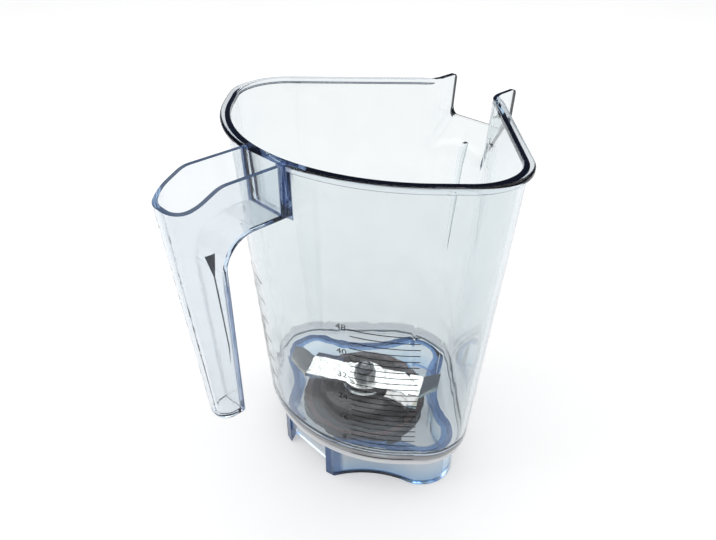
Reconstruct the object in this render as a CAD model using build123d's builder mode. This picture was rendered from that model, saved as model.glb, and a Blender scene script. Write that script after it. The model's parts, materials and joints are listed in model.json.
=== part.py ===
from build123d import *
import math
import os

os.makedirs("parts", exist_ok=True)

# Clear jar for a countertop blender: one moulding with a spout, a hollow handle and a lobed foot,
# and a blade assembly clamped through its floor. Millimetres, Z up from the surface it stands on.
# The spout points along +X, the handle along -X and the drive axis is Z.

# Jar plan: a square with its corners on the axes, each corner rounded by its own radius.
# The front flats are what the handle corner's wide arc leaves of the sides next to it.
jar_height = 208.0
jar_wall = 3.0
rim_half_side = 73.5
rim_plain_radius = 29.0
rim_front_flat = 14.0
rim_spout_radius = 43.0
rim_shift = -3.0
base_half_side = 62.0
base_plain_radius = 30.0
base_front_flat = 12.0
base_spout_radius = 46.0

# Floor, flange and lip
floor_thickness = 5.0
floor_outer_radius = 9.0
floor_inner_radius = 8.0
flange_thickness = 3.0
flange_inset = 1.0
flange_edge_radius = 1.2
lip_overhang = 2.4
lip_height = 3.4
lip_root = 0.6
lip_radius = 1.4
rim_edge_radius = 0.8

# Foot skirt, lobed at the corners and waisted at the sides
skirt_height = 24.0
skirt_half_side = 55.0
skirt_lobe_share = 0.8
skirt_blend_share = 0.4
skirt_waist_depth = 8.0
skirt_waist_radius = 60.0
skirt_wall = 4.5
skirt_step = 1.6
notch_width = 33.0
notch_height = 11.0
notch_wall = 3.0
notch_wall_setback = 15.0

# Spout at the +X corner
spout_width = 45.0
spout_wall = 3.0
spout_tip_x = 96.5
spout_flap_height = 23.0
spout_flap_lean = 2.0
spout_throat_x = 79.0
spout_throat_depth = 36.0
spout_corner_radius = 4.0
spout_fold_radius = 16.0
spout_tip_radius = 2.5
gusset_thickness = 2.4
gusset_bottom_z = 84.0
gusset_foot_x = 72.0
gusset_head_x = 86.0

# Handle: an open channel that turns down into a hollow tapering grip
handle_wall = 2.6
bridge_depth = 27.0
bridge_arch_radius = 15.0
grip_top_x = -118.5
grip_top_depth = 20.5
grip_top_width = 31.0
grip_top_radius = 13.5
grip_bottom_z = 78.0
grip_bottom_x = -108.0
grip_bottom_depth = 14.0
grip_bottom_width = 17.0
grip_bottom_radius = 7.5
grip_edge_radius = 2.0
grip_end_radius = 1.5
handle_dip = 8.5
handle_dip_run = 17.0
handle_dip_radius = 14.0
handle_level_share = 0.6

# Blade assembly on the drive axis
gasket_thickness = 1.0
gasket_diameter = 54.0
housing_tube_diameter = 32.0
housing_flange_diameter = 56.0
housing_flange_thickness = 2.5
housing_hub_diameter = 34.0
housing_hub_rise = 0.5
housing_shoulder = 1.2
housing_end_wall = 1.8
clamp_washer_diameter = 62.0
clamp_washer_thickness = 1.5
retaining_nut_gap = 3.5
retaining_nut_height = 8.0
retaining_nut_rim = 6.0
retaining_nut_web = 4.0
retaining_nut_hub = 6.0
nut_notch_width = 9.0
nut_notch_depth = 4.0
nut_notch_height = 5.0
nut_notch_count = 6
shaft_diameter = 8.0
shaft_collar_diameter = 10.4
shaft_stud_diameter = 6.5
shaft_key_width = 5.4
shaft_stud_engagement = 6.0
bearing_diameter = 19.0
bearing_height = 6.0
bearing_ring = 1.6
bearing_ball_diameter = 3.2
bearing_ball_count = 7
bearing_shield_thickness = 0.5
bearing_spacer_height = 2.0
bearing_spacer_wall = 1.5
circlip_thickness = 1.2
circlip_grip = 0.8
circlip_reach = 1.6
circlip_gap = 5.0
seal_height = 2.6
seal_diameter = 15.0
shoulder_bore = 12.8
cap_diameter = 27.0
cap_thickness = 1.6
cap_chamfer = 1.0
cap_bore = 10.0
seat_washer_diameter = 19.0
seat_washer_thickness = 1.4
blade_thickness = 2.4
blade_hub_diameter = 26.0
blade_width = 18.0
blade_flat_reach = 37.0
blade_tip_reach = 48.0
blade_tip_rise = 8.0
blade_tip_width = 12.0
flap_start = 17.0
flap_length = 20.0
flap_width = 6.5
flap_drop = 2.5
blade_rest_angle = -60.0
lock_washer_diameter = 20.0
lock_washer_thickness = 1.0
cap_nut_across_flats = 13.0
cap_nut_hex_height = 4.5
cap_nut_dome_diameter = 11.0
cap_nut_dome_height = 4.5
cap_nut_dome_radius = 4.2
socket_floor_gap = 1.0
socket_diameter = 20.0
socket_height = 10.5
socket_neck_diameter = 11.0
socket_spline_depth = 6.0
socket_spline_diameter = 13.0
socket_tooth_count = 12
socket_tooth_width = 1.4
socket_tooth_height = 0.9

# Clearances
seat_clearance = 0.02
running_clearance = 0.06
passing_clearance = 0.4
cut_margin = 2.0

# Sizes and heights that follow from the ones above
retaining_nut_diameter = 2 * (skirt_half_side - skirt_waist_depth - skirt_wall - retaining_nut_gap)
floor_z = skirt_height + floor_thickness
housing_flange_z = floor_z + gasket_thickness
housing_top_z = housing_flange_z + housing_flange_thickness + housing_hub_rise
seal_z = housing_top_z - seal_height
bearing_top_z = seal_z - housing_shoulder
upper_bearing_z = bearing_top_z - bearing_height
spacer_z = upper_bearing_z - bearing_spacer_height
lower_bearing_z = spacer_z - bearing_height
circlip_z = lower_bearing_z - circlip_thickness
housing_bottom_z = circlip_z - housing_end_wall
clamp_washer_z = skirt_height - clamp_washer_thickness
retaining_nut_z = clamp_washer_z - retaining_nut_height
seat_washer_z = housing_top_z + cap_thickness + passing_clearance
blade_z = seat_washer_z + seat_washer_thickness
under_z = jar_height - bridge_depth
head_z = under_z - bridge_arch_radius - cut_margin
lock_washer_z = blade_z + blade_thickness
cap_nut_z = lock_washer_z + lock_washer_thickness
socket_top_z = socket_floor_gap + socket_height
shaft_bottom_z = socket_floor_gap + socket_spline_depth
bore_radius = shaft_diameter / 2 + seat_clearance
stud_bore_radius = shaft_stud_diameter / 2 + seat_clearance


def jar_outline(z, inset=0.0):
    """Return the jar's plan at height z, moved in from the outside by inset."""
    rise = (z - skirt_height) / (jar_height - skirt_height)

    def between(base, rim):
        return base + (rim - base) * rise - inset

    base_handle_radius = 2 * base_half_side - base_plain_radius - base_front_flat
    rim_handle_radius = 2 * rim_half_side - rim_plain_radius - rim_front_flat
    with BuildSketch() as outline:
        with Locations((rim_shift * rise, 0)):
            side = 2 * between(base_half_side, rim_half_side)
            Rectangle(side, side, rotation=45)
        fillet(outline.vertices().sort_by(Axis.X)[0], between(base_handle_radius, rim_handle_radius))
        fillet(outline.vertices().sort_by(Axis.X)[-1], between(base_spout_radius, rim_spout_radius))
        fillet(outline.vertices().sort_by(Axis.Y)[0], between(base_plain_radius, rim_plain_radius))
        fillet(outline.vertices().sort_by(Axis.Y)[-1], between(base_plain_radius, rim_plain_radius))
    return outline.sketch


def skirt_outline(inset=0.0):
    """Return the plan of the foot skirt, moved in from the outside by inset."""
    side = 2 * (skirt_half_side - inset)
    waist_centre = skirt_half_side - skirt_waist_depth + skirt_waist_radius
    half_chord = math.sqrt(skirt_waist_radius**2 - (skirt_waist_radius - skirt_waist_depth) ** 2)
    flank = skirt_half_side - half_chord
    with BuildSketch() as outline:
        Rectangle(side, side, rotation=45)
        with PolarLocations(waist_centre, 4, start_angle=45):
            Circle(skirt_waist_radius + inset, mode=Mode.SUBTRACT)
        fillet(outline.vertices().sort_by(SortBy.DISTANCE)[:8], flank * skirt_blend_share - inset)
        fillet(outline.vertices().sort_by(SortBy.DISTANCE)[-4:], flank * skirt_lobe_share - inset)
    return outline.sketch


def grip_size(bottom, top, z):
    """Return a size of the grip at height z, between its value at the bottom and at the rim."""
    return bottom + (top - bottom) * (z - grip_bottom_z) / (jar_height - grip_bottom_z)


def grip_face_x(z):
    """Return where the grip's flat face towards the jar lies at height z."""
    depth = grip_size(grip_bottom_depth, grip_top_depth, z)
    return grip_size(grip_bottom_x, grip_top_x, z) + depth


def handle_plan(z, root_x, inset=0.0):
    """Return the handle's plan at height z, moved in by inset: from root_x to the round outer side."""
    outer_x = grip_size(grip_bottom_x, grip_top_x, z) + inset
    width = grip_size(grip_bottom_width, grip_top_width, z) - 2 * inset
    with BuildSketch() as plan:
        with Locations((outer_x, 0)):
            Rectangle(root_x - outer_x, width, align=(Align.MIN, Align.CENTER))
        outer_corners = plan.vertices().group_by(Axis.X)[0]
        fillet(outer_corners, grip_size(grip_bottom_radius, grip_top_radius, z) - inset)
    return plan.sketch


def bridge_profile(root_x, top_z, inset=0.0):
    """Return the side view of the bridge and the head of the grip, moved in by inset."""
    with BuildSketch() as profile:
        with BuildLine():
            Polyline(
                (root_x, top_z),
                (2 * grip_top_x, top_z),
                (2 * grip_top_x, head_z),
                (grip_face_x(head_z) - inset, head_z),
                (grip_face_x(under_z) - inset, under_z + inset),
                (root_x, under_z + inset),
                close=True,
            )
        make_face()
        inner_corner = profile.vertices().filter_by(lambda v: abs(v.Y - under_z - inset) < 1e-6)
        fillet(inner_corner.sort_by(Axis.X)[0], bridge_arch_radius + inset)
    return profile.sketch


# The space inside the jar
with BuildPart() as jar_inside:
    with BuildSketch(Plane.XY.offset(floor_z)):
        add(jar_outline(floor_z, jar_wall))
    with BuildSketch(Plane.XY.offset(jar_height + cut_margin)):
        add(jar_outline(jar_height + cut_margin, jar_wall))
    loft(ruled=True)
    fillet(jar_inside.faces().sort_by(Axis.Z)[0].edges(), floor_inner_radius)

# The chute's slope, from the throat at the wall to the lip between the flaps
chute_slope = (spout_throat_depth - spout_flap_height) / (spout_tip_x - spout_flap_lean - spout_throat_x)
throat_z = jar_height - spout_throat_depth
chute_half_width = spout_width / 2 - spout_wall

# The outside of the spout before it is hollowed
with BuildPart() as spout_block:
    block_floor_z = throat_z - spout_wall
    block_lip_z = jar_height - spout_flap_height - spout_wall
    with BuildSketch(Plane.XZ):
        with BuildLine():
            Polyline(
                (0, jar_height),
                (spout_tip_x, jar_height),
                (spout_tip_x - spout_flap_lean, block_lip_z),
                (spout_throat_x, block_floor_z),
                (0, block_floor_z - chute_slope * spout_throat_x),
                close=True,
            )
        make_face()
    extrude(amount=spout_width / 2, both=True)
    underside = spout_block.edges().filter_by(
        lambda e: abs(abs(e.center().Y) - spout_width / 2) < 1e-6 and e.center().Z < block_lip_z
    )
    fillet(underside, spout_corner_radius)
    tip = spout_block.edges().filter_by(Axis.Y).group_by(Axis.Z)[-1].sort_by(Axis.X)[-1]
    fillet(tip, spout_tip_radius)

# The chute that is cut through the spout block
with BuildPart() as spout_chute:
    chute_end_x = spout_tip_x + 2 * spout_wall
    with BuildSketch(Plane.XZ):
        with BuildLine():
            Polyline(
                (0, jar_height + cut_margin),
                (chute_end_x, jar_height + cut_margin),
                (chute_end_x, throat_z + chute_slope * (chute_end_x - spout_throat_x)),
                (0, throat_z - chute_slope * spout_throat_x),
                close=True,
            )
        make_face()
    extrude(amount=chute_half_width, both=True)
    chute_floor = spout_chute.faces().sort_by(Axis.Z)[0]
    fillet(chute_floor.edges().filter_by(lambda e: abs(e.center().Y) > spout_wall), spout_corner_radius)

# The lip that stands out round the rim, open at the spout
with BuildPart() as rim_lip:
    lip_z = jar_height - lip_height
    with BuildSketch(Plane.XY.offset(lip_z)):
        add(jar_outline(jar_height, -lip_overhang))
    extrude(amount=lip_height)
    fillet(rim_lip.edges().group_by(Axis.Z)[0] + rim_lip.edges().group_by(Axis.Z)[-1], lip_radius)
    with BuildSketch(Plane.XY.offset(lip_z)):
        add(jar_outline(jar_height, lip_root))
        with Locations((spout_tip_x, 0)):
            Rectangle(spout_tip_x, spout_width - spout_wall)
    extrude(amount=lip_height, mode=Mode.SUBTRACT)

# The flange that the skirt hangs from
with BuildPart() as base_flange:
    with BuildSketch(Plane.XY.offset(skirt_height)):
        add(jar_outline(skirt_height, flange_inset))
    extrude(amount=flange_thickness)
    outer_edges = base_flange.edges().group_by(Axis.Z)[0] + base_flange.edges().group_by(Axis.Z)[-1]
    fillet(outer_edges, flange_edge_radius)

# The outside of the handle before it is hollowed: the bridge with its head, and the grip below it
handle_apex_x = jar_outline(jar_height).bounding_box().min.X
with BuildPart() as handle_form:
    with BuildSketch(Plane.XY.offset(head_z)):
        add(handle_plan(head_z, 0))
    with BuildSketch(Plane.XY.offset(jar_height)):
        add(handle_plan(jar_height, 0))
    loft(ruled=True)
    with BuildSketch(Plane.XZ):
        add(bridge_profile(0, jar_height))
    extrude(amount=grip_top_width, both=True, mode=Mode.INTERSECT)
    with BuildSketch(Plane.XY.offset(grip_bottom_z)):
        add(handle_plan(grip_bottom_z, grip_face_x(grip_bottom_z)))
    with BuildSketch(Plane.XY.offset(head_z)):
        add(handle_plan(head_z, grip_face_x(head_z)))
    loft(ruled=True)
    inner_edges = handle_form.edges().filter_by(
        lambda e: abs(e.center().Y) > grip_bottom_width / 2
        and e.center().Z < under_z + grip_edge_radius
        and e.center().X > grip_face_x(e.center().Z) - grip_edge_radius
    )
    fillet(inner_edges, grip_edge_radius)
    fillet(handle_form.faces().sort_by(Axis.Z)[0].edges(), grip_end_radius)

# The hollow of the handle, which stops short of the jar's wall
with BuildPart() as handle_hollow:
    open_z = jar_height + cut_margin
    hollow_root_x = handle_apex_x - handle_wall
    with BuildSketch(Plane.XY.offset(head_z)):
        add(handle_plan(head_z, hollow_root_x, handle_wall))
    with BuildSketch(Plane.XY.offset(open_z)):
        add(handle_plan(open_z, hollow_root_x, handle_wall))
    loft(ruled=True)
    with BuildSketch(Plane.XZ):
        add(bridge_profile(hollow_root_x, open_z, handle_wall))
    extrude(amount=grip_top_width, both=True, mode=Mode.INTERSECT)
    hollow_z = grip_bottom_z + handle_wall
    with BuildSketch(Plane.XY.offset(hollow_z)):
        add(handle_plan(hollow_z, grip_face_x(hollow_z) - handle_wall, handle_wall))
    with BuildSketch(Plane.XY.offset(head_z)):
        add(handle_plan(head_z, grip_face_x(head_z) - handle_wall, handle_wall))
    loft(ruled=True)

# What is cut from the top of the handle, which is level at the rim and then dips to its outer end
with BuildPart() as handle_dip_cut:
    dip_x = handle_apex_x + (grip_top_x - handle_apex_x) * handle_level_share
    with BuildSketch(Plane.XZ) as dip_profile:
        with BuildLine():
            Polyline(
                (dip_x, jar_height),
                (dip_x - handle_dip_run, jar_height - handle_dip),
                (2 * grip_top_x, jar_height - handle_dip),
                (2 * grip_top_x, jar_height + cut_margin),
                (dip_x + handle_dip_run, jar_height + cut_margin),
                (dip_x + handle_dip_run, jar_height),
                close=True,
            )
        make_face()
        dip_ends = dip_profile.vertices().filter_by(
            lambda v: min(abs(v.X - dip_x), abs(v.X - dip_x + handle_dip_run)) < 1e-6
        )
        fillet(dip_ends, handle_dip_radius)
    extrude(amount=grip_top_width, both=True)

# The jar, moulded in one piece
with BuildPart() as jar:
    # Tapering body on its rounded floor
    with BuildSketch(Plane.XY.offset(skirt_height)):
        add(jar_outline(skirt_height))
    with BuildSketch(Plane.XY.offset(jar_height)):
        add(jar_outline(jar_height))
    loft(ruled=True)
    fillet(jar.faces().sort_by(Axis.Z)[0].edges(), floor_outer_radius)
    # Flange, spout, gusset under the spout and handle, as solid forms
    add(base_flange.part)
    add(spout_block.part)
    outer_folds = jar.edges().filter_by(
        lambda e: abs(abs(e.center().Y) - spout_width / 2) < seat_clearance
        and e.center().X < spout_throat_x
        and e.length > spout_flap_height
    )
    fillet(outer_folds, spout_fold_radius - spout_wall)
    with BuildSketch(Plane.XZ):
        with BuildLine():
            Polyline(
                (0, gusset_bottom_z),
                (gusset_foot_x, gusset_bottom_z),
                (gusset_head_x, throat_z),
                (0, throat_z),
                close=True,
            )
        make_face()
    extrude(amount=gusset_thickness / 2, both=True)
    add(handle_form.part)
    # Hollow out the jar, the chute and the handle
    add(jar_inside.part, mode=Mode.SUBTRACT)
    add(spout_chute.part, mode=Mode.SUBTRACT)
    folds = jar.edges().filter_by(
        lambda e: abs(abs(e.center().Y) - chute_half_width) < seat_clearance
        and e.center().X < spout_throat_x
        and e.length > spout_flap_height
    )
    fillet(folds, spout_fold_radius)
    add(rim_lip.part)
    add(handle_hollow.part, mode=Mode.SUBTRACT)
    add(handle_dip_cut.part, mode=Mode.SUBTRACT)
    # Lobed skirt with a notch under the handle
    with BuildSketch():
        add(skirt_outline())
        add(skirt_outline(skirt_wall), mode=Mode.SUBTRACT)
        add(jar_outline(skirt_height, flange_inset + skirt_step), mode=Mode.INTERSECT)
        with Locations((-skirt_half_side, 0)):
            Rectangle(skirt_half_side, notch_width, mode=Mode.SUBTRACT)
    extrude(amount=skirt_height)
    # Wall across the upper part of the notch
    with BuildSketch(Plane.XY.offset(notch_height)):
        with Locations((notch_wall_setback - base_half_side, 0)):
            Rectangle(notch_wall, notch_width + 2 * notch_wall)
    extrude(amount=skirt_height - notch_height)
    # Rounded edge inside the rim
    mid_wall = jar_outline(jar_height, jar_wall / 2).face()
    rim_edges = jar.edges().group_by(Axis.Z)[-1].filter_by(
        lambda e: mid_wall.is_inside(e.center() - Vector(0, 0, jar_height))
    )
    fillet(rim_edges, rim_edge_radius)
    # Hole in the floor for the blade assembly
    with Locations((0, 0, floor_z)):
        Hole(housing_tube_diameter / 2 + passing_clearance, floor_thickness + cut_margin)
jar.part.label = "jar"
export_step(jar.part, "parts/jar.step")

# Gasket between the floor and the flange of the bearing housing
with BuildPart() as housing_gasket:
    with BuildSketch(Plane.XY.offset(floor_z)):
        Circle(gasket_diameter / 2)
        Circle(housing_tube_diameter / 2 + passing_clearance, mode=Mode.SUBTRACT)
    extrude(amount=gasket_thickness)
housing_gasket.part.label = "housing_gasket"
export_step(housing_gasket.part, "parts/housing_gasket.step")

# Bearing housing: a flanged cartridge that passes down through the floor
with BuildPart() as bearing_housing:
    with BuildSketch(Plane.XY.offset(housing_bottom_z)):
        Circle(housing_tube_diameter / 2)
    extrude(amount=housing_flange_z - housing_bottom_z)
    with BuildSketch(Plane.XY.offset(housing_flange_z)):
        Circle(housing_flange_diameter / 2)
    extrude(amount=housing_flange_thickness)
    chamfer(bearing_housing.edges().group_by(Axis.Z)[-1], housing_flange_thickness / 2)
    with BuildSketch(Plane.XY.offset(housing_flange_z)):
        Circle(housing_hub_diameter / 2)
    extrude(amount=housing_top_z - housing_flange_z)
    with BuildSketch(Plane.XY.offset(housing_bottom_z)):
        Circle(bearing_diameter / 2 + seat_clearance)
    extrude(amount=bearing_top_z - housing_bottom_z, mode=Mode.SUBTRACT)
    with BuildSketch(Plane.XY.offset(circlip_z)):
        Circle(bearing_diameter / 2 + circlip_grip + seat_clearance)
    extrude(amount=circlip_thickness, mode=Mode.SUBTRACT)
    with BuildSketch(Plane.XY.offset(bearing_top_z)):
        Circle(shoulder_bore / 2)
    extrude(amount=housing_shoulder, mode=Mode.SUBTRACT)
    with BuildSketch(Plane.XY.offset(seal_z)):
        Circle(seal_diameter / 2 + seat_clearance)
    extrude(amount=seal_height, mode=Mode.SUBTRACT)
bearing_housing.part.label = "bearing_housing"
export_step(bearing_housing.part, "parts/bearing_housing.step")

# Soft washer that the retaining nut presses against the underside of the floor
with BuildPart() as clamp_washer:
    with BuildSketch(Plane.XY.offset(clamp_washer_z)):
        Circle(clamp_washer_diameter / 2)
        Circle(housing_tube_diameter / 2 + passing_clearance, mode=Mode.SUBTRACT)
    extrude(amount=clamp_washer_thickness)
clamp_washer.part.label = "clamp_washer"
export_step(clamp_washer.part, "parts/clamp_washer.step")

# Retaining nut: a broad dished nut with notches for a wrench
with BuildPart() as retaining_nut:
    with BuildSketch(Plane.XY.offset(retaining_nut_z)):
        Circle(retaining_nut_diameter / 2)
        Circle(housing_tube_diameter / 2 + seat_clearance, mode=Mode.SUBTRACT)
    extrude(amount=retaining_nut_height)
    with BuildSketch(Plane.XY.offset(retaining_nut_z)):
        with PolarLocations(retaining_nut_diameter / 2, nut_notch_count):
            Rectangle(2 * nut_notch_depth, nut_notch_width)
    extrude(amount=nut_notch_height, mode=Mode.SUBTRACT)
    with BuildSketch(Plane.XY.offset(retaining_nut_z)):
        Circle(retaining_nut_diameter / 2 - retaining_nut_rim)
        Circle(housing_tube_diameter / 2 + retaining_nut_hub, mode=Mode.SUBTRACT)
    extrude(amount=retaining_nut_height - retaining_nut_web, mode=Mode.SUBTRACT)
retaining_nut.part.label = "retaining_nut"
export_step(retaining_nut.part, "parts/retaining_nut.step")

# Two ball bearings, each with two rings, balls and a shield on its outer side
ball_pitch_radius = (shaft_diameter + bearing_diameter) / 4
ball_radius = bearing_ball_diameter / 2
inner_ring_radius = shaft_diameter / 2 + bearing_ring
outer_ring_radius = bearing_diameter / 2 - bearing_ring
upper_shield_z = bearing_top_z - bearing_shield_thickness
bearings = (("upper", upper_bearing_z, upper_shield_z), ("lower", lower_bearing_z, lower_bearing_z))
for place, bearing_z, shield_z in bearings:
    ball_z = bearing_z + bearing_height / 2

    with BuildPart() as outer_ring:
        with BuildSketch(Plane.XZ):
            with Locations((outer_ring_radius, bearing_z)):
                Rectangle(bearing_ring, bearing_height, align=(Align.MIN, Align.MIN))
            with Locations((ball_pitch_radius, ball_z)):
                Circle(ball_radius + seat_clearance, mode=Mode.SUBTRACT)
        revolve(axis=Axis.Z)
    outer_ring.part.label = place + "_bearing_outer_ring"
    export_step(outer_ring.part, "parts/" + place + "_bearing_outer_ring.step")

    with BuildPart() as inner_ring:
        with BuildSketch(Plane.XZ):
            with Locations((bore_radius, bearing_z)):
                Rectangle(inner_ring_radius - bore_radius, bearing_height, align=(Align.MIN, Align.MIN))
            with Locations((ball_pitch_radius, ball_z)):
                Circle(ball_radius + running_clearance, mode=Mode.SUBTRACT)
        revolve(axis=Axis.Z)
    inner_ring.part.label = place + "_bearing_inner_ring"
    export_step(inner_ring.part, "parts/" + place + "_bearing_inner_ring.step")

    with BuildPart(Plane.XY.offset(ball_z)) as balls:
        with PolarLocations(ball_pitch_radius, bearing_ball_count):
            Sphere(ball_radius)
    balls.part.label = place + "_bearing_balls"
    export_step(balls.part, "parts/" + place + "_bearing_balls.step")

    with BuildPart() as shield:
        with BuildSketch(Plane.XY.offset(shield_z)):
            Circle(outer_ring_radius - seat_clearance)
            Circle(inner_ring_radius + passing_clearance, mode=Mode.SUBTRACT)
        extrude(amount=bearing_shield_thickness)
    shield.part.label = place + "_bearing_shield"
    export_step(shield.part, "parts/" + place + "_bearing_shield.step")

# Spacer between the two inner rings
with BuildPart() as bearing_spacer:
    with BuildSketch(Plane.XY.offset(spacer_z)):
        Circle(bore_radius + bearing_spacer_wall)
        Circle(bore_radius, mode=Mode.SUBTRACT)
    extrude(amount=bearing_spacer_height)
bearing_spacer.part.label = "bearing_spacer"
export_step(bearing_spacer.part, "parts/bearing_spacer.step")

# Circlip that holds the lower bearing in the housing
with BuildPart() as bearing_circlip:
    with BuildSketch(Plane.XY.offset(circlip_z)):
        Circle(bearing_diameter / 2 + circlip_grip)
        Circle(bearing_diameter / 2 - circlip_reach, mode=Mode.SUBTRACT)
        with Locations((bearing_diameter / 2, 0)):
            Rectangle(bearing_diameter / 2, circlip_gap, mode=Mode.SUBTRACT)
    extrude(amount=circlip_thickness)
bearing_circlip.part.label = "bearing_circlip"
export_step(bearing_circlip.part, "parts/bearing_circlip.step")

# Lip seal round the shaft, above the bearings
with BuildPart() as shaft_seal:
    with BuildSketch(Plane.XY.offset(seal_z)):
        Circle(seal_diameter / 2)
        Circle(shaft_diameter / 2 + running_clearance, mode=Mode.SUBTRACT)
    extrude(amount=seal_height)
shaft_seal.part.label = "shaft_seal"
export_step(shaft_seal.part, "parts/shaft_seal.step")

# Bright cap over the seal
with BuildPart() as seal_cap:
    with BuildSketch(Plane.XY.offset(housing_top_z)):
        Circle(cap_diameter / 2)
    extrude(amount=cap_thickness)
    chamfer(seal_cap.edges().group_by(Axis.Z)[-1], cap_chamfer)
    with Locations((0, 0, housing_top_z + cap_thickness)):
        Hole(cap_bore / 2, cap_thickness)
seal_cap.part.label = "seal_cap"
export_step(seal_cap.part, "parts/seal_cap.step")

# Drive shaft: a collar above the upper bearing, and a keyed stud for the blade
with BuildPart() as drive_shaft:
    with BuildSketch(Plane.XY.offset(shaft_bottom_z)):
        Circle(shaft_diameter / 2)
    extrude(amount=seat_washer_z - shaft_bottom_z)
    with BuildSketch(Plane.XY.offset(bearing_top_z)):
        Circle(shaft_collar_diameter / 2)
    extrude(amount=housing_shoulder - passing_clearance)
    with BuildSketch(Plane.XY.offset(seat_washer_z)):
        Circle(shaft_stud_diameter / 2)
        Rectangle(shaft_stud_diameter, shaft_key_width, rotation=blade_rest_angle, mode=Mode.INTERSECT)
    extrude(amount=cap_nut_z + shaft_stud_engagement - seat_washer_z)
drive_shaft.part.label = "drive_shaft"
export_step(drive_shaft.part, "parts/drive_shaft.step")

# Drive socket: a splined cup that the motor's coupling enters from below
with BuildPart() as drive_socket:
    with BuildSketch(Plane.XY.offset(socket_floor_gap)):
        Circle(socket_diameter / 2)
    extrude(amount=socket_height)
    with BuildSketch(Plane.XY.offset(socket_top_z)):
        Circle(socket_neck_diameter / 2)
    extrude(amount=lower_bearing_z - socket_top_z)
    with BuildSketch(Plane.XY.offset(shaft_bottom_z)):
        Circle(bore_radius)
    extrude(amount=lower_bearing_z - shaft_bottom_z, mode=Mode.SUBTRACT)
    with BuildSketch(Plane.XY.offset(socket_floor_gap)):
        Circle(socket_spline_diameter / 2)
        with PolarLocations(socket_spline_diameter / 2, socket_tooth_count):
            Rectangle(2 * socket_tooth_height, socket_tooth_width, mode=Mode.SUBTRACT)
    extrude(amount=socket_spline_depth, mode=Mode.SUBTRACT)
drive_socket.part.label = "drive_socket"
export_step(drive_socket.part, "parts/drive_socket.step")

# Washer that the blade sits on
with BuildPart() as seat_washer:
    with BuildSketch(Plane.XY.offset(seat_washer_z)):
        Circle(seat_washer_diameter / 2)
        Circle(stud_bore_radius, mode=Mode.SUBTRACT)
    extrude(amount=seat_washer_thickness)
seat_washer.part.label = "seat_washer"
export_step(seat_washer.part, "parts/seat_washer.step")


def arm_plane(angle):
    """Return the upright plane along a blade arm at the given angle about the axis."""
    turn = math.radians(angle)
    along = (math.cos(turn), math.sin(turn), 0)
    across = (math.sin(turn), -math.cos(turn), 0)
    return Plane(origin=(0, 0, blade_z), x_dir=along, z_dir=across)


def arm_profile(flat_reach, reach, rise):
    """Return the side view of a pair of arms: flat in the middle, bent at both ends."""
    bend = math.atan2(abs(rise), reach - flat_reach)
    upright = blade_thickness / math.cos(bend)
    with BuildSketch() as profile:
        with BuildLine():
            Polyline(
                (-reach, rise),
                (-flat_reach, 0),
                (flat_reach, 0),
                (reach, rise),
                (reach, rise + upright),
                (flat_reach, blade_thickness),
                (-flat_reach, blade_thickness),
                (-reach, rise + upright),
                close=True,
            )
        make_face()
    return profile.sketch


def arm_plan(flat_reach, reach, width, tip_width):
    """Return the top view of a pair of arms, which taper from the bend to the tip."""
    with BuildSketch() as plan:
        with BuildLine():
            Polyline(
                (-reach, -tip_width / 2),
                (-flat_reach, -width / 2),
                (flat_reach, -width / 2),
                (reach, -tip_width / 2),
                (reach, tip_width / 2),
                (flat_reach, width / 2),
                (-flat_reach, width / 2),
                (-reach, tip_width / 2),
                close=True,
            )
        make_face()
    return plan.sketch


# Flaps along the trailing edges of the blade, bent towards the floor
with BuildPart() as blade_flaps:
    for side in (blade_rest_angle, blade_rest_angle + 180):
        along = arm_plane(side)
        root = blade_width / 2 - blade_thickness
        edge = blade_width / 2 + flap_width
        flap_origin = along.origin + along.x_dir * flap_start
        with BuildSketch(Plane(origin=flap_origin, x_dir=along.z_dir, z_dir=along.x_dir)):
            with BuildLine():
                Polyline(
                    (root, 0),
                    (edge, flap_drop),
                    (edge, flap_drop - blade_thickness),
                    (root, -blade_thickness),
                    close=True,
                )
            make_face()
        extrude(amount=flap_length)

# Blade: the main bar with upturned tips and drooping flaps
main_plane = arm_plane(blade_rest_angle)
with BuildPart() as blade:
    with BuildSketch(main_plane):
        add(arm_profile(blade_flat_reach, blade_tip_reach, blade_tip_rise))
    extrude(amount=blade_width, both=True)
    with BuildSketch(Plane(origin=main_plane.origin, x_dir=main_plane.x_dir)):
        add(arm_plan(blade_flat_reach, blade_tip_reach, blade_width, blade_tip_width))
    extrude(amount=blade_width, both=True, mode=Mode.INTERSECT)
    add(blade_flaps.part)
    with BuildSketch(Plane.XY.offset(blade_z)):
        Circle(blade_hub_diameter / 2)
    extrude(amount=blade_thickness)
    with BuildSketch(Plane.XY.offset(blade_z)):
        Circle(stud_bore_radius)
        Rectangle(
            2 * stud_bore_radius,
            shaft_key_width + 2 * seat_clearance,
            rotation=blade_rest_angle,
            mode=Mode.INTERSECT,
        )
    extrude(amount=blade_thickness, mode=Mode.SUBTRACT)
blade.part.label = "blade"
export_step(blade.part, "parts/blade.step")

# Washer between the blade and the cap nut
with BuildPart() as lock_washer:
    with BuildSketch(Plane.XY.offset(lock_washer_z)):
        Circle(lock_washer_diameter / 2)
        Circle(stud_bore_radius, mode=Mode.SUBTRACT)
    extrude(amount=lock_washer_thickness)
lock_washer.part.label = "lock_washer"
export_step(lock_washer.part, "parts/lock_washer.step")

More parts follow.
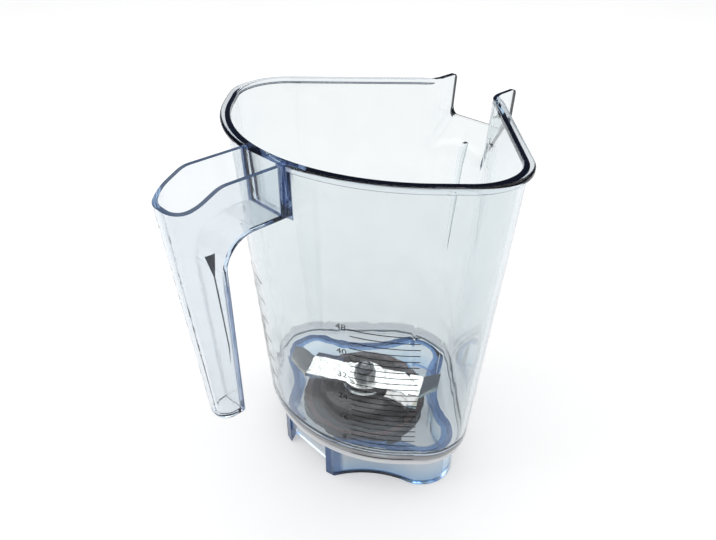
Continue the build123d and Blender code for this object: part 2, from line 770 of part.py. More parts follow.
# Domed cap nut on the end of the shaft
with BuildPart() as cap_nut:
    with BuildSketch(Plane.XY.offset(cap_nut_z)):
        RegularPolygon(cap_nut_across_flats / 2, 6, major_radius=False)
    extrude(amount=cap_nut_hex_height)
    with BuildSketch(Plane.XY.offset(cap_nut_z + cap_nut_hex_height)):
        Circle(cap_nut_dome_diameter / 2)
    extrude(amount=cap_nut_dome_height)
    fillet(cap_nut.edges().group_by(Axis.Z)[-1], cap_nut_dome_radius)
    with BuildSketch(Plane.XY.offset(cap_nut_z)):
        Circle(stud_bore_radius)
    extrude(amount=shaft_stud_engagement + passing_clearance, mode=Mode.SUBTRACT)
cap_nut.part.label = "cap_nut"
export_step(cap_nut.part, "parts/cap_nut.step")
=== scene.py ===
import json
import math
from types import SimpleNamespace

import bpy
from mathutils import Matrix, Vector


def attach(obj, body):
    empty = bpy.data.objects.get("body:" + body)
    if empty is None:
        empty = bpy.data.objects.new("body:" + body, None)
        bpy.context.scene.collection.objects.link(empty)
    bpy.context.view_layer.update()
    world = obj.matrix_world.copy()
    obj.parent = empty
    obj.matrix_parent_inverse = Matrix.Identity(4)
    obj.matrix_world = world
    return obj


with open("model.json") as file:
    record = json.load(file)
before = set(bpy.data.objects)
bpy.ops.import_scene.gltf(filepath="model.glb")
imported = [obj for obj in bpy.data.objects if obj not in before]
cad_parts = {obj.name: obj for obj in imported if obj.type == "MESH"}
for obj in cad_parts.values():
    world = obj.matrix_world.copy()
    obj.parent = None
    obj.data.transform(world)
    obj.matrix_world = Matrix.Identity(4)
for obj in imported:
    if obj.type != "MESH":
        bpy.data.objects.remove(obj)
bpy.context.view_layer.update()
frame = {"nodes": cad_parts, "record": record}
nodes = frame["nodes"]
scene = bpy.context.scene

# The jar's plan, in metres, as the part has it, each value at the base and at the rim
BASE_Z, RIM_Z = 0.024, 0.208
HALF_SIDE = (0.062, 0.0735)
HANDLE_RADIUS = (0.082, 0.104)
PLAIN_RADIUS = (0.030, 0.029)
SHIFT = (0.0, -0.003)
ROOT2 = math.sqrt(2)
WALL_ANGLE = math.radians(225)

# The lobed skirt under the floor, in metres
SKIRT_HALF_SIDE = 0.055
SKIRT_LOBE_RADIUS = 0.020
SKIRT_WAIST_RADIUS = 0.060
SKIRT_WAIST_CENTRE = 0.107
HALF_DIAGONAL = 0.70711

# Soft edges of the places of painted shade and painted highlight on the moulding, in metres, each as its
# start and its end
FOOT_TOP = (0.0225, 0.0236)
FOOT_RIM = (0.0006, 0.0014)
LEG_FRONT_X = (-0.0405, -0.0395)
LEG_INNER = (0.0155, 0.0160)
LEG_OUTER = (0.0205, 0.0225)
FLANGE_BOTTOM = (0.0243, 0.0246)
FLANGE_TOP = (0.0272, 0.0276)
ROOT_BOTTOM = (0.0270, 0.0276)
ROOT_TOP = (0.0330, 0.0350)
ROOT_BEND = (0.027, 0.032)
UNDERSIDE_BOTTOM = (0.0237, 0.0239)
UNDERSIDE_TOP = (0.0241, 0.0243)
OUTSIDE_SKIRT = (-0.0008, -0.0002)
SKIRT_ROOT_OUTER = (0.0020, 0.0025)
SKIRT_ROOT_INNER = (0.0074, 0.0082)
JUNCTION_OUTER_X = (-0.0672, -0.0666)
JUNCTION_INNER_X = (-0.0598, -0.0592)
JUNCTION_SIDE = (0.0003, 0.0007)
JUNCTION_BOTTOM = (0.1790, 0.1796)
JUNCTION_FLOOR = (0.1840, 0.1846)
JUNCTION_WALL = (0.0105, 0.0112)
HANDLE_START_X = (-0.069, -0.066)
HANDLE_RIM = (0.194, 0.197)
CORNER_TOP = (0.158, 0.168)
CORNER_EDGE = (0.0, 0.0008)
NEAR_TO_FAR = (-0.004, 0.004)
# Soft edges of the painted dark line inside the grip
DARK_LINE_WALL = (0.0006, 0.0008)
DARK_LINE_EDGE = (0.0, 0.0002)
DARK_LINE_BOTTOM = (0.112, 0.124)
DARK_LINE_TOP = (0.1783, 0.1787)
HOLLOW_BOTTOM = (0.0802, 0.0804)
HOLLOW_TOP = (0.0813, 0.0816)
HOLLOW_SIDE = (0.0066, 0.0068)
HOLLOW_OUTER_X = (-0.1068, -0.1064)
HOLLOW_INNER_X = (-0.0958, -0.0954)
FLAP_START_X = (0.0925, 0.0935)
FLAP_SIDE = (0.0186, 0.0190)
FLAP_FREE_EDGE = (-0.0012, -0.0009)

# Places on the handle and the flaps that move evenly with height, each at the bottom and the top of its span
GRIP_SPAN = (0.078, 0.208)
GRIP_OUTER_HALF = (0.0085, 0.0155)
GRIP_FLAT_HALF = (0.0052, 0.0121)
GRIP_INNER_HALF = (0.0059, 0.0129)
GRIP_FACE_X = (-0.0975, -0.1015)
# Where the painted dark line inside the grip runs and how wide it grows
DARK_LINE_SPAN = (0.1246, 0.178)
DARK_LINE_X = (-0.1000, -0.1044)
DARK_LINE_WIDENING = (0.167, 0.1785)
DARK_LINE_HALF = (0.00022, 0.0021)
FLAP_SPAN = (0.182, 0.208)
FLAP_FREE_X = (0.0945, 0.0965)

# Soft edges in how far a face is turned, where 1 faces straight along the axis
FACES_AXIS = (0.5, 0.7)
FACES_END = (0.7, 0.9)
ROOT_TURN = (0.75, 0.32)
ROOT_TURN_EDGE = (0.0, 0.05)
# How much of the grip corner's painted shade the far side gets against the near side
FAR_SIDE_SHARE = 0.15

# The steel and the dark nut, as distances from the drive axis in metres
BLADE_TIP = (0.0372, 0.0376)
BLADE_ANGLE = math.radians(60)
NUT_BROWN_INNER = (0.0345, 0.0352)
# Rings of painted shade and reflection on the cap nut, by distance from the axis
NUT_BROWN_OUTER = (0.0380, 0.0386)
RING_PITCH = 0.00155
RING_EDGE = (0.00025, 0.00045)

# The printed scales, in metres: the height of the zero mark, the rise for each unit and the print itself
SCALE_ZERO_Z = 0.0264
OUNCE_RISE = 0.00205
MILLILITRE_RISE = 0.0000693
PRINT_LIFT = 0.00008
FIGURE_LIFT = 0.0003
MARK_STEPS = 14

# The stage and the camera, which was worked out from the photograph
FLOOR_SIZE = 12
FLOOR_Z = -0.0002
FLOOR_GLOW = 0.36
ROOM_EDGE = (0.48, 0.58)
IMAGE_WIDTH = 716
FOCAL_PIXELS = 642.33
SENSOR_WIDTH = 36.0
CAMERA_NEAR = 0.01
CAMERA_PLACE = (-0.2189, -0.2203, 0.3203)
CAMERA_VIEW = (0.5820, 0.6031, -0.5455)
CAMERA_ROLL = math.radians(0.18)

# Shader helpers


def new_material(name):
    """Return a node material with its tree and its Principled shader."""
    mat = bpy.data.materials.new(name)
    mat.use_nodes = True
    tree = mat.node_tree
    tree.nodes.clear()
    out = tree.nodes.new("ShaderNodeOutputMaterial")
    out.name = "output"
    bsdf = tree.nodes.new("ShaderNodeBsdfPrincipled")
    tree.links.new(bsdf.outputs["BSDF"], out.inputs["Surface"])
    return mat, tree, bsdf


def object_coords(tree, scale=(1, 1, 1), turn=(0, 0, 0)):
    """Return the object position, in metres, scaled and turned."""
    coord = tree.nodes.new("ShaderNodeTexCoord")
    mapping = tree.nodes.new("ShaderNodeMapping")
    mapping.inputs["Scale"].default_value = scale
    mapping.inputs["Rotation"].default_value = turn
    tree.links.new(coord.outputs["Object"], mapping.inputs["Vector"])
    return mapping.outputs["Vector"]


def noise(tree, vector, scale, detail=3.0, rough=0.5):
    """Return a noise value from 0 to 1."""
    node = tree.nodes.new("ShaderNodeTexNoise")
    node.inputs["Scale"].default_value = scale
    node.inputs["Detail"].default_value = detail
    node.inputs["Roughness"].default_value = rough
    tree.links.new(vector, node.inputs["Vector"])
    return node.outputs["Fac"]


def spread(tree, value, low, high, start=0.3, end=0.7):
    """Map the range start to end of a value onto low to high, and hold it there beyond."""
    node = tree.nodes.new("ShaderNodeMapRange")
    node.inputs["From Min"].default_value = start
    node.inputs["From Max"].default_value = end
    node.inputs["To Min"].default_value = low
    node.inputs["To Max"].default_value = high
    tree.links.new(value, node.inputs["Value"])
    return node.outputs["Result"]


def rise(tree, value, edge):
    """Return a mask that goes from 0 to 1 over an edge."""
    return spread(tree, value, 0.0, 1.0, *edge)


def fall(tree, value, edge):
    """Return a mask that goes from 1 to 0 over an edge."""
    return spread(tree, value, 1.0, 0.0, *edge)


def two_tone(tree, value, low, high, start=0.3, end=0.7):
    """Blend two colours by a value."""
    ramp = tree.nodes.new("ShaderNodeValToRGB")
    ramp.color_ramp.elements[0].position = start
    ramp.color_ramp.elements[1].position = end
    ramp.color_ramp.elements[0].color = (*low, 1)
    ramp.color_ramp.elements[1].color = (*high, 1)
    tree.links.new(value, ramp.inputs["Fac"])
    return ramp.outputs["Color"]


def bump(tree, bsdf, height, strength, distance):
    """Give a shader a bump from a height."""
    node = tree.nodes.new("ShaderNodeBump")
    node.inputs["Strength"].default_value = strength
    node.inputs["Distance"].default_value = distance
    tree.links.new(height, node.inputs["Height"])
    tree.links.new(node.outputs["Normal"], bsdf.inputs["Normal"])


def blend(tree, factor, first, second):
    """Mix two colour outputs."""
    node = tree.nodes.new("ShaderNodeMix")
    node.data_type = "RGBA"
    tree.links.new(factor, node.inputs["Factor"])
    tree.links.new(first, node.inputs["A"])
    tree.links.new(second, node.inputs["B"])
    return node.outputs["Result"]


def combine(tree, operation, first, second):
    """Return a math operation on two values, either of which may be a number."""
    node = tree.nodes.new("ShaderNodeMath")
    node.operation = operation
    for value, socket in zip((first, second), node.inputs):
        if isinstance(value, (int, float)):
            socket.default_value = value
        else:
            tree.links.new(value, socket)
    return node.outputs[0]


def less(tree, first, second):
    """Return the first value less the second."""
    return combine(tree, "SUBTRACT", first, second)


def size_of(tree, value):
    """Return a value without its sign."""
    return combine(tree, "ABSOLUTE", value, 0)


def both(tree, *values):
    """Return the product of masks."""
    result = values[0]
    for value in values[1:]:
        result = combine(tree, "MULTIPLY", result, value)
    return result


def length(tree, vector):
    """Return the length of a vector."""
    node = tree.nodes.new("ShaderNodeVectorMath")
    node.operation = "LENGTH"
    tree.links.new(vector, node.inputs[0])
    return node.outputs["Value"]


def split(tree, vector):
    """Return the three parts of a vector."""
    node = tree.nodes.new("ShaderNodeSeparateXYZ")
    tree.links.new(vector, node.inputs["Vector"])
    return [node.outputs[axis] for axis in "XYZ"]


def from_axis(tree):
    """Return the distance from the drive axis, in metres."""
    return length(tree, object_coords(tree, (1, 1, 0)))


# Clear plastic


def skirt_depth(tree, x, y):
    """Return how far a point lies inside the outline of the lobed skirt, in metres."""

    def reach(first, second):
        pair = tree.nodes.new("ShaderNodeCombineXYZ")
        tree.links.new(first, pair.inputs["X"])
        tree.links.new(second, pair.inputs["Y"])
        return length(tree, pair.outputs["Vector"])

    across = []
    for sign in ("ADD", "SUBTRACT"):
        diagonal = combine(tree, sign, x, y)
        across.append(size_of(tree, combine(tree, "MULTIPLY", diagonal, HALF_DIAGONAL)))
    lobe_centre = SKIRT_HALF_SIDE - SKIRT_LOBE_RADIUS
    past = [combine(tree, "MAXIMUM", less(tree, a, lobe_centre), 0.0) for a in across]
    depth = less(tree, SKIRT_LOBE_RADIUS, reach(*past))
    for a, b in (across, across[::-1]):
        waist = reach(less(tree, a, SKIRT_WAIST_CENTRE), b)
        depth = combine(tree, "MINIMUM", depth, less(tree, waist, SKIRT_WAIST_RADIUS))
    return depth


def moulding_place(tree, vector):
    """Return where a point of the moulding lies and how its face is turned."""
    at = SimpleNamespace()
    at.x, at.y, at.z = split(tree, vector)
    at.off_centre = size_of(tree, at.y)
    shape = tree.nodes.new("ShaderNodeNewGeometry")
    normal_x, _, normal_z = split(tree, shape.outputs["Normal"])
    at.level = size_of(tree, normal_z)
    at.endways = size_of(tree, normal_x)
    at.in_foot = fall(tree, at.z, FOOT_TOP)
    at.in_handle = fall(tree, at.x, HANDLE_START_X)
    return at


def foot_masks(tree, at):
    """Return the masks of painted shade on the foot and of painted highlight on the flange and the root of
    the wall.
    """
    depth = skirt_depth(tree, at.x, at.y)
    underside = both(tree, rise(tree, at.z, UNDERSIDE_BOTTOM), fall(tree, at.z, UNDERSIDE_TOP))
    turn_limit = spread(tree, at.z, *ROOT_TURN, *ROOT_BEND)
    return {
        # Painted shade: the skirt's bottom face, where it stands on the floor, is deep blue
        "foot_edge": fall(tree, at.z, FOOT_RIM),
        # Painted shade: blue on the cut ends of the legs
        "leg_end": both(
            tree,
            at.in_foot,
            fall(tree, at.x, LEG_FRONT_X),
            rise(tree, at.off_centre, LEG_INNER),
            fall(tree, at.off_centre, LEG_OUTER),
        ),
        # Painted highlight: a white, mostly diffuse band round the flange's edge
        "flange_edge": both(tree, rise(tree, at.z, FLANGE_BOTTOM), fall(tree, at.z, FLANGE_TOP)),
        # Painted highlight: a white band on the steep faces of the wall's root above the flange
        "wall_root": both(
            tree,
            rise(tree, at.z, ROOT_BOTTOM),
            fall(tree, at.z, ROOT_TOP),
            rise(tree, less(tree, turn_limit, at.level), ROOT_TURN_EDGE),
        ),
        # Painted highlight: the flange's underside outside the skirt is painted white
        "flange_under": both(tree, underside, fall(tree, depth, OUTSIDE_SKIRT)),
        # Painted shade: a deep blue ring on the underside of the floor just inside the skirt
        "skirt_root": both(
            tree,
            underside,
            rise(tree, depth, SKIRT_ROOT_OUTER),
            fall(tree, depth, SKIRT_ROOT_INNER),
        ),
    }


def handle_masks(tree, at):
    """Return the masks of painted shade on the handle: its junction with the wall, its rim and its grip."""
    outer_half = spread(tree, at.z, *GRIP_OUTER_HALF, *GRIP_SPAN)
    flat_half = spread(tree, at.z, *GRIP_FLAT_HALF, *GRIP_SPAN)
    inner_half = spread(tree, at.z, *GRIP_INNER_HALF, *GRIP_SPAN)
    face_x = spread(tree, at.z, *GRIP_FACE_X, *GRIP_SPAN)
    line_x = spread(tree, at.z, *DARK_LINE_X, *DARK_LINE_SPAN)
    line_half = spread(tree, at.z, *DARK_LINE_HALF, *DARK_LINE_WIDENING)
    off_line = size_of(tree, less(tree, at.x, line_x))
    off_wall = size_of(tree, combine(tree, "ADD", at.y, inner_half))
    side_wall = rise(tree, at.off_centre, JUNCTION_WALL)
    channel_floor = fall(tree, at.z, JUNCTION_FLOOR)
    return {
        # Painted shade: a dark blue line where the handle's bridge meets the jar wall
        "handle_root": both(
            tree,
            rise(tree, at.x, JUNCTION_OUTER_X),
            fall(tree, at.x, JUNCTION_INNER_X),
            fall(tree, less(tree, at.off_centre, outer_half), JUNCTION_SIDE),
            rise(tree, at.z, JUNCTION_BOTTOM),
            combine(tree, "MAXIMUM", side_wall, channel_floor),
        ),
        # Painted shade: blue on the upward faces at the top of the handle
        "handle_top": both(
            tree,
            at.in_handle,
            rise(tree, at.z, HANDLE_RIM),
            rise(tree, at.level, FACES_AXIS),
        ),
        # Painted shade: a blue band along the grip's jar-side corners, full on the near side and weak on the
        # far side
        "grip_corner": both(
            tree,
            at.in_handle,
            fall(tree, at.z, CORNER_TOP),
            rise(tree, less(tree, at.off_centre, flat_half), CORNER_EDGE),
            rise(tree, less(tree, at.x, face_x), CORNER_EDGE),
            spread(tree, at.y, 1.0, FAR_SIDE_SHARE, *NEAR_TO_FAR),
        ),
        # Painted shade: a dark line down the near inner corner of the grip's hollow
        "grip_dark_line": both(
            tree,
            fall(tree, off_wall, DARK_LINE_WALL),
            fall(tree, less(tree, off_line, line_half), DARK_LINE_EDGE),
            rise(tree, at.z, DARK_LINE_BOTTOM),
            fall(tree, at.z, DARK_LINE_TOP),
        ),
        # Painted shade: a dark line round the bottom end of the grip's hollow
        "hollow_end": both(
            tree,
            at.in_handle,
            rise(tree, at.z, HOLLOW_BOTTOM),
            fall(tree, at.z, HOLLOW_TOP),
            fall(tree, at.off_centre, HOLLOW_SIDE),
            fall(tree, at.level, FACES_AXIS),
            rise(tree, at.x, HOLLOW_OUTER_X),
            fall(tree, at.x, HOLLOW_INNER_X),
        ),
    }


def flap_mask(tree, at):
    """Return the mask of painted shade, a dark line, on the free edges of the spout's flaps."""
    free_x = spread(tree, at.z, *FLAP_FREE_X, *FLAP_SPAN)
    end_face = rise(tree, at.endways, FACES_END)
    free_edge = rise(tree, less(tree, at.x, free_x), FLAP_FREE_EDGE)
    return both(
        tree,
        rise(tree, at.x, FLAP_START_X),
        rise(tree, at.off_centre, FLAP_SIDE),
        combine(tree, "MAXIMUM", end_face, free_edge),
    )


def clear_plastic():
    """Clear moulded plastic, with painted shade in dark and blue lines and painted white highlights put on
    its edges by position.
    """
    mat, tree, bsdf = new_material("clear_plastic")
    vector = object_coords(tree)
    haze = noise(tree, vector, scale=60, detail=4)
    wave = noise(tree, vector, scale=22, detail=1)
    streak = noise(tree, object_coords(tree, (1, 1, 0.04)), scale=900, detail=2)
    at = moulding_place(tree, vector)
    masks = {**foot_masks(tree, at), **handle_masks(tree, at), "flap_edge": flap_mask(tree, at)}

    wall = two_tone(tree, haze, (0.845, 0.866, 0.86), (0.875, 0.892, 0.886))
    grip = two_tone(tree, haze, (0.865, 0.885, 0.895), (0.892, 0.91, 0.918))
    # Painted shade: the skirt is bluer and darker towards the floor
    foot = two_tone(tree, at.z, (0.52, 0.73, 0.93), (0.86, 0.905, 0.94), start=0.0, end=0.015)
    # Painted shade in deep blue for the skirt's bottom face and the ring at its root
    deep_blue = two_tone(tree, haze, (0.016, 0.085, 0.32), (0.032, 0.125, 0.40))
    # Painted shade in blue for the top of the handle
    edge_blue = two_tone(tree, haze, (0.30, 0.45, 0.74), (0.38, 0.53, 0.80))
    # Painted shade in streaked blue for the grip's corners
    corner_blue = two_tone(tree, streak, (0.10, 0.15, 0.30), (0.46, 0.54, 0.70))
    # Painted shade in streaked dark blue for the handle's junction with the wall
    root_blue = two_tone(tree, streak, (0.02, 0.04, 0.13), (0.20, 0.28, 0.50))
    # Painted shade in blue for the cut ends of the legs
    leg_blue = two_tone(tree, haze, (0.16, 0.28, 0.56), (0.24, 0.37, 0.66))
    # Painted shade in near black for dark lines inside the grip, at the hollow's end and on the flaps' free
    # edges
    painted_dark_line = two_tone(tree, haze, (0.02, 0.024, 0.03), (0.04, 0.046, 0.055))
    # Painted highlight in white for the flange's edge, its underside and the root of the wall
    white = two_tone(tree, haze, (0.95, 0.965, 0.985), (0.97, 0.98, 0.995))
    tint = blend(tree, at.in_foot, blend(tree, at.in_handle, wall, grip), foot)

    # Each place of painted shade or painted highlight with its colour and the share by which it turns
    # diffuse so that the paint shows
    clear = 1.0
    for name, colour, diffuse_share in (
        ("flange_edge", white, 0.9),
        ("handle_top", edge_blue, 0.3),
        ("wall_root", white, 0.38),
        ("flange_under", white, 0.0),
        ("handle_root", root_blue, 0.3),
        ("leg_end", leg_blue, 0.45),
        ("grip_corner", corner_blue, 0.45),
        ("grip_dark_line", painted_dark_line, 0.8),
        ("hollow_end", painted_dark_line, 0.3),
        ("flap_edge", painted_dark_line, 0.5),
        ("skirt_root", deep_blue, 0.0),
        ("foot_edge", deep_blue, 0.0),
    ):
        tint = blend(tree, masks[name], tint, colour)
        if diffuse_share:
            clear = less(tree, clear, combine(tree, "MULTIPLY", masks[name], diffuse_share))
    tree.links.new(tint, bsdf.inputs["Base Color"])
    tree.links.new(combine(tree, "MAXIMUM", clear, 0.0), bsdf.inputs["Transmission Weight"])
    frosted = combine(tree, "MULTIPLY", masks["flange_under"], 0.55)
    rough = combine(tree, "ADD", spread(tree, haze, 0.0, 0.03), frosted)
    tree.links.new(rough, bsdf.inputs["Roughness"])
    bsdf.inputs["IOR"].default_value = 1.52
    bsdf.inputs["Specular Tint"].default_value = (0.35, 0.35, 0.38, 1)
    bump(tree, bsdf, wave, strength=0.05, distance=0.0006)
    absorb = tree.nodes.new("ShaderNodeVolumeAbsorption")
    absorb.inputs["Color"].default_value = (0.18, 0.54, 0.86, 1)
    absorb.inputs["Density"].default_value = 16.0
    tree.links.new(absorb.outputs["Volume"], tree.nodes["output"].inputs["Volume"])
    return mat


# Metal, dark plastic and rubber


def metal(name, dark, light, smooth, rough, scale=(1, 1, 1)):
    """Bare metal with fine ground lines."""
    mat, tree, bsdf = new_material(name)
    lines = noise(tree, object_coords(tree, scale), scale=400, detail=4, rough=0.6)
    smear = noise(tree, object_coords(tree), scale=45, detail=3)
    tree.links.new(two_tone(tree, smear, dark, light), bsdf.inputs["Base Color"])
    tree.links.new(spread(tree, lines, smooth, rough), bsdf.inputs["Roughness"])
    bsdf.inputs["Metallic"].default_value = 1.0
    bump(tree, bsdf, lines, strength=0.06, distance=0.000008)
    return mat


def solid_plastic(name, dark, light, smooth, rough):
    """Opaque plastic or rubber with a fine moulded grain."""
    mat, tree, bsdf = new_material(name)
    vector = object_coords(tree)
    fine = noise(tree, vector, scale=900, detail=2)
    broad = noise(tree, vector, scale=70, detail=4)
    tree.links.new(two_tone(tree, broad, dark, light), bsdf.inputs["Base Color"])
    tree.links.new(spread(tree, broad, smooth, rough), bsdf.inputs["Roughness"])
    bump(tree, bsdf, fine, strength=0.25, distance=0.00004)
    return mat


def moulded_nut():
    """Dark moulded nut with a brown tinge near its rim."""
    mat, tree, bsdf = new_material("retaining_nut")
    radius = from_axis(tree)
    vector = object_coords(tree)
    fine = noise(tree, vector, scale=900, detail=2)
    broad = noise(tree, vector, scale=70, detail=4)
    inner = two_tone(tree, broad, (0.008, 0.007, 0.007), (0.02, 0.017, 0.016))
    brown = two_tone(tree, broad, (0.20, 0.075, 0.065), (0.28, 0.11, 0.095))
    rim = both(tree, rise(tree, radius, NUT_BROWN_INNER), fall(tree, radius, NUT_BROWN_OUTER))
    tree.links.new(blend(tree, rim, inner, brown), bsdf.inputs["Base Color"])
    tree.links.new(spread(tree, broad, 0.4, 0.6), bsdf.inputs["Roughness"])
    bsdf.inputs["Specular IOR Level"].default_value = 0.06
    bump(tree, bsdf, fine, strength=0.2, distance=0.00003)
    return mat


def blade_steel():
    """Ground steel, scuffed on the flat, darker, warmer and more even in colour on the turned-up tips."""
    mat, tree, bsdf = new_material("blade_steel")
    tip = rise(tree, from_axis(tree), BLADE_TIP)
    along_blade = object_coords(tree, (0.08, 1, 1), (0, 0, BLADE_ANGLE))
    lines = noise(tree, along_blade, scale=700, detail=4, rough=0.6)
    scuffs = noise(tree, object_coords(tree), scale=300, detail=5, rough=0.7)
    flat = two_tone(tree, scuffs, (0.60, 0.585, 0.55), (0.98, 0.975, 0.965), start=0.36, end=0.54)
    smooth = two_tone(tree, scuffs, (0.56, 0.565, 0.50), (0.64, 0.645, 0.58))
    tree.links.new(blend(tree, tip, flat, smooth), bsdf.inputs["Base Color"])
    tree.links.new(spread(tree, lines, 0.18, 0.26), bsdf.inputs["Roughness"])
    bsdf.inputs["Metallic"].default_value = 1.0
    bump(tree, bsdf, lines, strength=0.06, distance=0.000008)
    return mat


def turned_steel():
    """Bright steel, turned on a lathe, with dark and light rings round the axis that are painted shade and
    reflection, over a bump along the same rings.
    """
    mat, tree, bsdf = new_material("turned_steel")
    rings = combine(tree, "PINGPONG", from_axis(tree), RING_PITCH)
    wear = noise(tree, object_coords(tree), scale=120, detail=3)
    # Painted shade and reflection: dark and light rings laid by distance from the axis
    shade = two_tone(tree, rings, (0.04, 0.04, 0.045), (0.80, 0.80, 0.80), *RING_EDGE)
    shine = two_tone(tree, wear, (0.55, 0.55, 0.55), (0.75, 0.75, 0.75))
    tree.links.new(blend(tree, spread(tree, wear, 0.7, 0.95), shine, shade), bsdf.inputs["Base Color"])
    tree.links.new(spread(tree, wear, 0.22, 0.34), bsdf.inputs["Roughness"])
    bsdf.inputs["Metallic"].default_value = 1.0
    bump(tree, bsdf, rings, strength=0.3, distance=0.0002)
    return mat


materials = {
    "clear_plastic": clear_plastic(),
    "polished_steel": metal("polished_steel", (0.62, 0.62, 0.62), (0.78, 0.78, 0.77), 0.06, 0.16),
    "blade_steel": blade_steel(),
    "bearing_steel": metal("bearing_steel", (0.45, 0.45, 0.46), (0.6, 0.6, 0.61), 0.18, 0.3),
    "socket_steel": metal("socket_steel", (0.34, 0.34, 0.35), (0.48, 0.48, 0.49), 0.3, 0.45, (1, 1, 6)),
    "dark_plastic": solid_plastic("dark_plastic", (0.020, 0.013, 0.012), (0.038, 0.024, 0.022), 0.2, 0.32),
    "black_rubber": solid_plastic("black_rubber", (0.014, 0.014, 0.015), (0.03, 0.03, 0.031), 0.55, 0.75),
}
own = {"retaining_nut": moulded_nut(), "cap_nut": turned_steel(), "lock_washer": materials["blade_steel"]}
for part in frame["record"]["subparts"]:
    obj = nodes[part["node"]]
    obj.data.materials.clear()
    obj.data.materials.append(own.get(part["node"]) or materials[part["material_slot"]])

# Printed scales


def corner_point(centre, radius, angle):
    """Return the point of a rounded corner at an angle, lifted off it by the print."""
    out = Vector((math.cos(angle), math.sin(angle), 0))
    return centre + out * (radius + PRINT_LIFT)


def right_wall(across, z):
    """Return the point of the wall right of the handle, across metres from its middle."""
    share = (z - BASE_Z) / (RIM_Z - BASE_Z)
    half, handle_radius, plain_radius, shift = (
        base + (rim - base) * share for base, rim in (HALF_SIDE, HANDLE_RADIUS, PLAIN_RADIUS, SHIFT)
    )
    if across < handle_radius - half:
        turn = math.asin((handle_radius - half - across) / handle_radius)
        centre = Vector((shift - ROOT2 * (half - handle_radius), 0, z))
        return corner_point(centre, handle_radius, WALL_ANGLE - turn)
    if across > half - plain_radius:
        turn = math.asin((across - half + plain_radius) / plain_radius)
        centre = Vector((shift, -ROOT2 * (half - plain_radius), z))
        return corner_point(centre, plain_radius, WALL_ANGLE + turn)
    out = Vector((-1, -1, 0)) / ROOT2
    along = Vector((1, -1, 0)) / ROOT2
    return Vector((shift, 0, z)) + along * across + out * (half + PRINT_LIFT)


def left_wall(across, z):
    """Return the same point on the other side of the handle, read from outside."""
    point = right_wall(-across, z)
    return Vector((point.x, -point.y, point.z))


def mark(points, faces, place, start, end, z, thick):
    """Add one printed line that follows the wall."""
    first = len(points)
    for i in range(MARK_STEPS + 1):
        across = start + (end - start) * i / MARK_STEPS
        points.append(place(across, z - thick / 2))
        points.append(place(across, z + thick / 2))
    for i in range(MARK_STEPS):
        a = first + 2 * i
        faces.append((a, a + 2, a + 3, a + 1))


def figures(points, faces, place, text, middle, z, size):
    """Add a number, laid onto the wall."""
    curve = bpy.data.curves.new("figures", "FONT")
    curve.body = text
    curve.size = size
    curve.align_x = "CENTER"
    curve.align_y = "CENTER"
    obj = bpy.data.objects.new("figures", curve)
    scene.collection.objects.link(obj)
    bpy.context.view_layer.update()
    flat = bpy.data.meshes.new_from_object(obj.evaluated_get(bpy.context.evaluated_depsgraph_get()))
    first = len(points)
    for v in flat.vertices:
        points.append(place(middle + v.co.x, z + v.co.y))
    for p in flat.polygons:
        faces.append(tuple(first + i for i in p.vertices))
    bpy.data.objects.remove(obj)
    bpy.data.curves.remove(curve)
    bpy.data.meshes.remove(flat)


def print_scale(points, faces, place, volumes, label_step, unit_rise, plain, labelled, thick, middle, size):
    """Add the lines of one scale, with a number beside each labelled one."""
    for volume in volumes:
        level = SCALE_ZERO_Z + unit_rise * volume
        has_label = volume % label_step == 0
        start, end = labelled if has_label else plain
        mark(points, faces, place, start, end, level, thick)
        if has_label:
            figures(points, faces, place, str(volume), middle, level + FIGURE_LIFT, size)


def ink():
    """Black printing ink, worn a little in places."""
    mat, tree, bsdf = new_material("scale_ink")
    worn = noise(tree, object_coords(tree), scale=900, detail=3)
    shade = two_tone(tree, worn, (0.004, 0.004, 0.005), (0.014, 0.014, 0.017))
    tree.links.new(shade, bsdf.inputs["Base Color"])
    tree.links.new(spread(tree, worn, 0.5, 0.75), bsdf.inputs["Roughness"])
    bsdf.inputs["Specular IOR Level"].default_value = 0.2
    return mat


scale_points, scale_faces = [], []

# Fluid ounces on the wall that the photograph shows
print_scale(
    scale_points,
    scale_faces,
    right_wall,
    volumes=range(2, 50, 2),
    label_step=8,
    unit_rise=OUNCE_RISE,
    plain=(-0.0065, 0.0285),
    labelled=(-0.0075, 0.0285),
    thick=0.0006,
    middle=-0.0107,
    size=0.0054,
)

# Millilitres on the other wall
print_scale(
    scale_points,
    scale_faces,
    left_wall,
    volumes=range(100, 1450, 50),
    label_step=200,
    unit_rise=MILLILITRE_RISE,
    plain=(0.004, 0.014),
    labelled=(0.004, 0.022),
    thick=0.0005,
    middle=0.0,
    size=0.0042,
)
scale_mesh = bpy.data.meshes.new("scale_print")
scale_mesh.from_pydata(scale_points, [], scale_faces)
scale_print = bpy.data.objects.new("scale_print", scale_mesh)
scene.collection.objects.link(scale_print)
scale_print.data.materials.append(ink())
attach(scale_print, "jar_body")

# Stage, light and camera


def backdrop_rays(tree):
    """Return 1 for rays that see the background directly, in metal or through plastic."""
    path = tree.nodes.new("ShaderNodeLightPath")
    seen = combine(tree, "ADD", path.outputs["Is Camera Ray"], path.outputs["Is Glossy Ray"])
    seen = combine(tree, "ADD", seen, path.outputs["Is Transmission Ray"])
    return combine(tree, "MINIMUM", seen, 1.0)


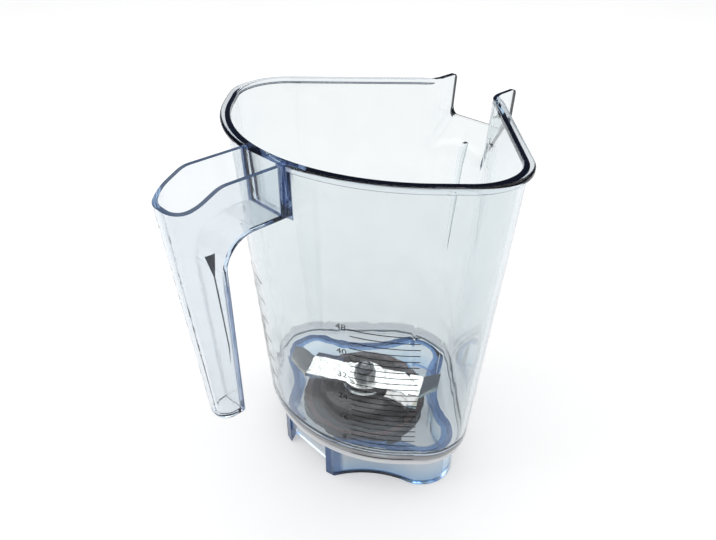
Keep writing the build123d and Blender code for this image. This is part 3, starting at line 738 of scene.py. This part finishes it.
def floor_material():
    """Pale floor: white where it is lit, grey in the object's shadow."""
    mat, tree, bsdf = new_material("floor_white")
    fine = noise(tree, object_coords(tree), scale=3, detail=2)
    pale = two_tone(tree, fine, (0.86, 0.86, 0.865), (0.88, 0.88, 0.885))
    tree.links.new(pale, bsdf.inputs["Base Color"])
    bsdf.inputs["Roughness"].default_value = 0.7
    bsdf.inputs["Specular IOR Level"].default_value = 0.1
    bsdf.inputs["Emission Color"].default_value = (1, 1, 1, 1)
    glow = combine(tree, "MULTIPLY", backdrop_rays(tree), FLOOR_GLOW)
    tree.links.new(glow, bsdf.inputs["Emission Strength"])
    return mat


bpy.ops.mesh.primitive_plane_add(size=FLOOR_SIZE, location=(0, 0, FLOOR_Z))
floor = bpy.context.object
floor.name = "floor"
floor.data.materials.append(floor_material())

world = bpy.data.worlds.new("studio")
scene.world = world
world.use_nodes = True
tree = world.node_tree
tree.nodes.clear()
sky = tree.nodes.new("ShaderNodeBackground")
world_out = tree.nodes.new("ShaderNodeOutputWorld")
tree.links.new(sky.outputs["Background"], world_out.inputs["Surface"])
direction = tree.nodes.new("ShaderNodeTexCoord")
height = split(tree, direction.outputs["Generated"])[2]

# The camera itself sees white all round, metal and plastic see a dark room at low angles
camera_ray = tree.nodes.new("ShaderNodeLightPath").outputs["Is Camera Ray"]
shown = combine(tree, "MAXIMUM", height, camera_ray)
room = two_tone(tree, shown, (0.065, 0.085, 0.16), (1.0, 1.0, 1.0), *ROOM_EDGE)
soft = two_tone(tree, height, (0.66, 0.66, 0.66), (0.68, 0.68, 0.68), start=0.0, end=1.0)
tree.links.new(blend(tree, backdrop_rays(tree), soft, room), sky.inputs["Color"])


def softbox(name, place, target, width, height, power):
    """Add an area lamp that faces a target."""
    data = bpy.data.lights.new(name, "AREA")
    data.shape = "RECTANGLE"
    data.size = width
    data.size_y = height
    data.energy = power
    lamp = bpy.data.objects.new(name, data)
    lamp.location = place
    lamp.rotation_euler = (Vector(target) - Vector(place)).to_track_quat("-Z", "Y").to_euler()
    scene.collection.objects.link(lamp)


softbox("key", (-0.7, 0.5, 1.2), (0, 0, 0.1), width=0.8, height=0.8, power=3)
softbox("fill", (0.9, -0.6, 0.9), (0, 0, 0.1), width=0.9, height=0.6, power=1.5)
softbox("back", (0.62, 0.62, 1.0), (0, 0, 0.04), width=0.45, height=0.45, power=1.0)

view = Vector(CAMERA_VIEW).normalized()
side = view.cross(Vector((0, 0, 1))).normalized()
up = side.cross(view)
turn = Matrix((side, up, -view)).transposed().to_4x4()
roll = Matrix.Rotation(CAMERA_ROLL, 4, "Z")
camera_data = bpy.data.cameras.new("camera")
camera_data.sensor_width = SENSOR_WIDTH
camera_data.lens = FOCAL_PIXELS / IMAGE_WIDTH * SENSOR_WIDTH
camera_data.clip_start = CAMERA_NEAR
camera = bpy.data.objects.new("camera", camera_data)
camera.matrix_world = Matrix.Translation(CAMERA_PLACE) @ turn @ roll
scene.collection.objects.link(camera)
scene.camera = camera
scene.view_settings.view_transform = "Standard"
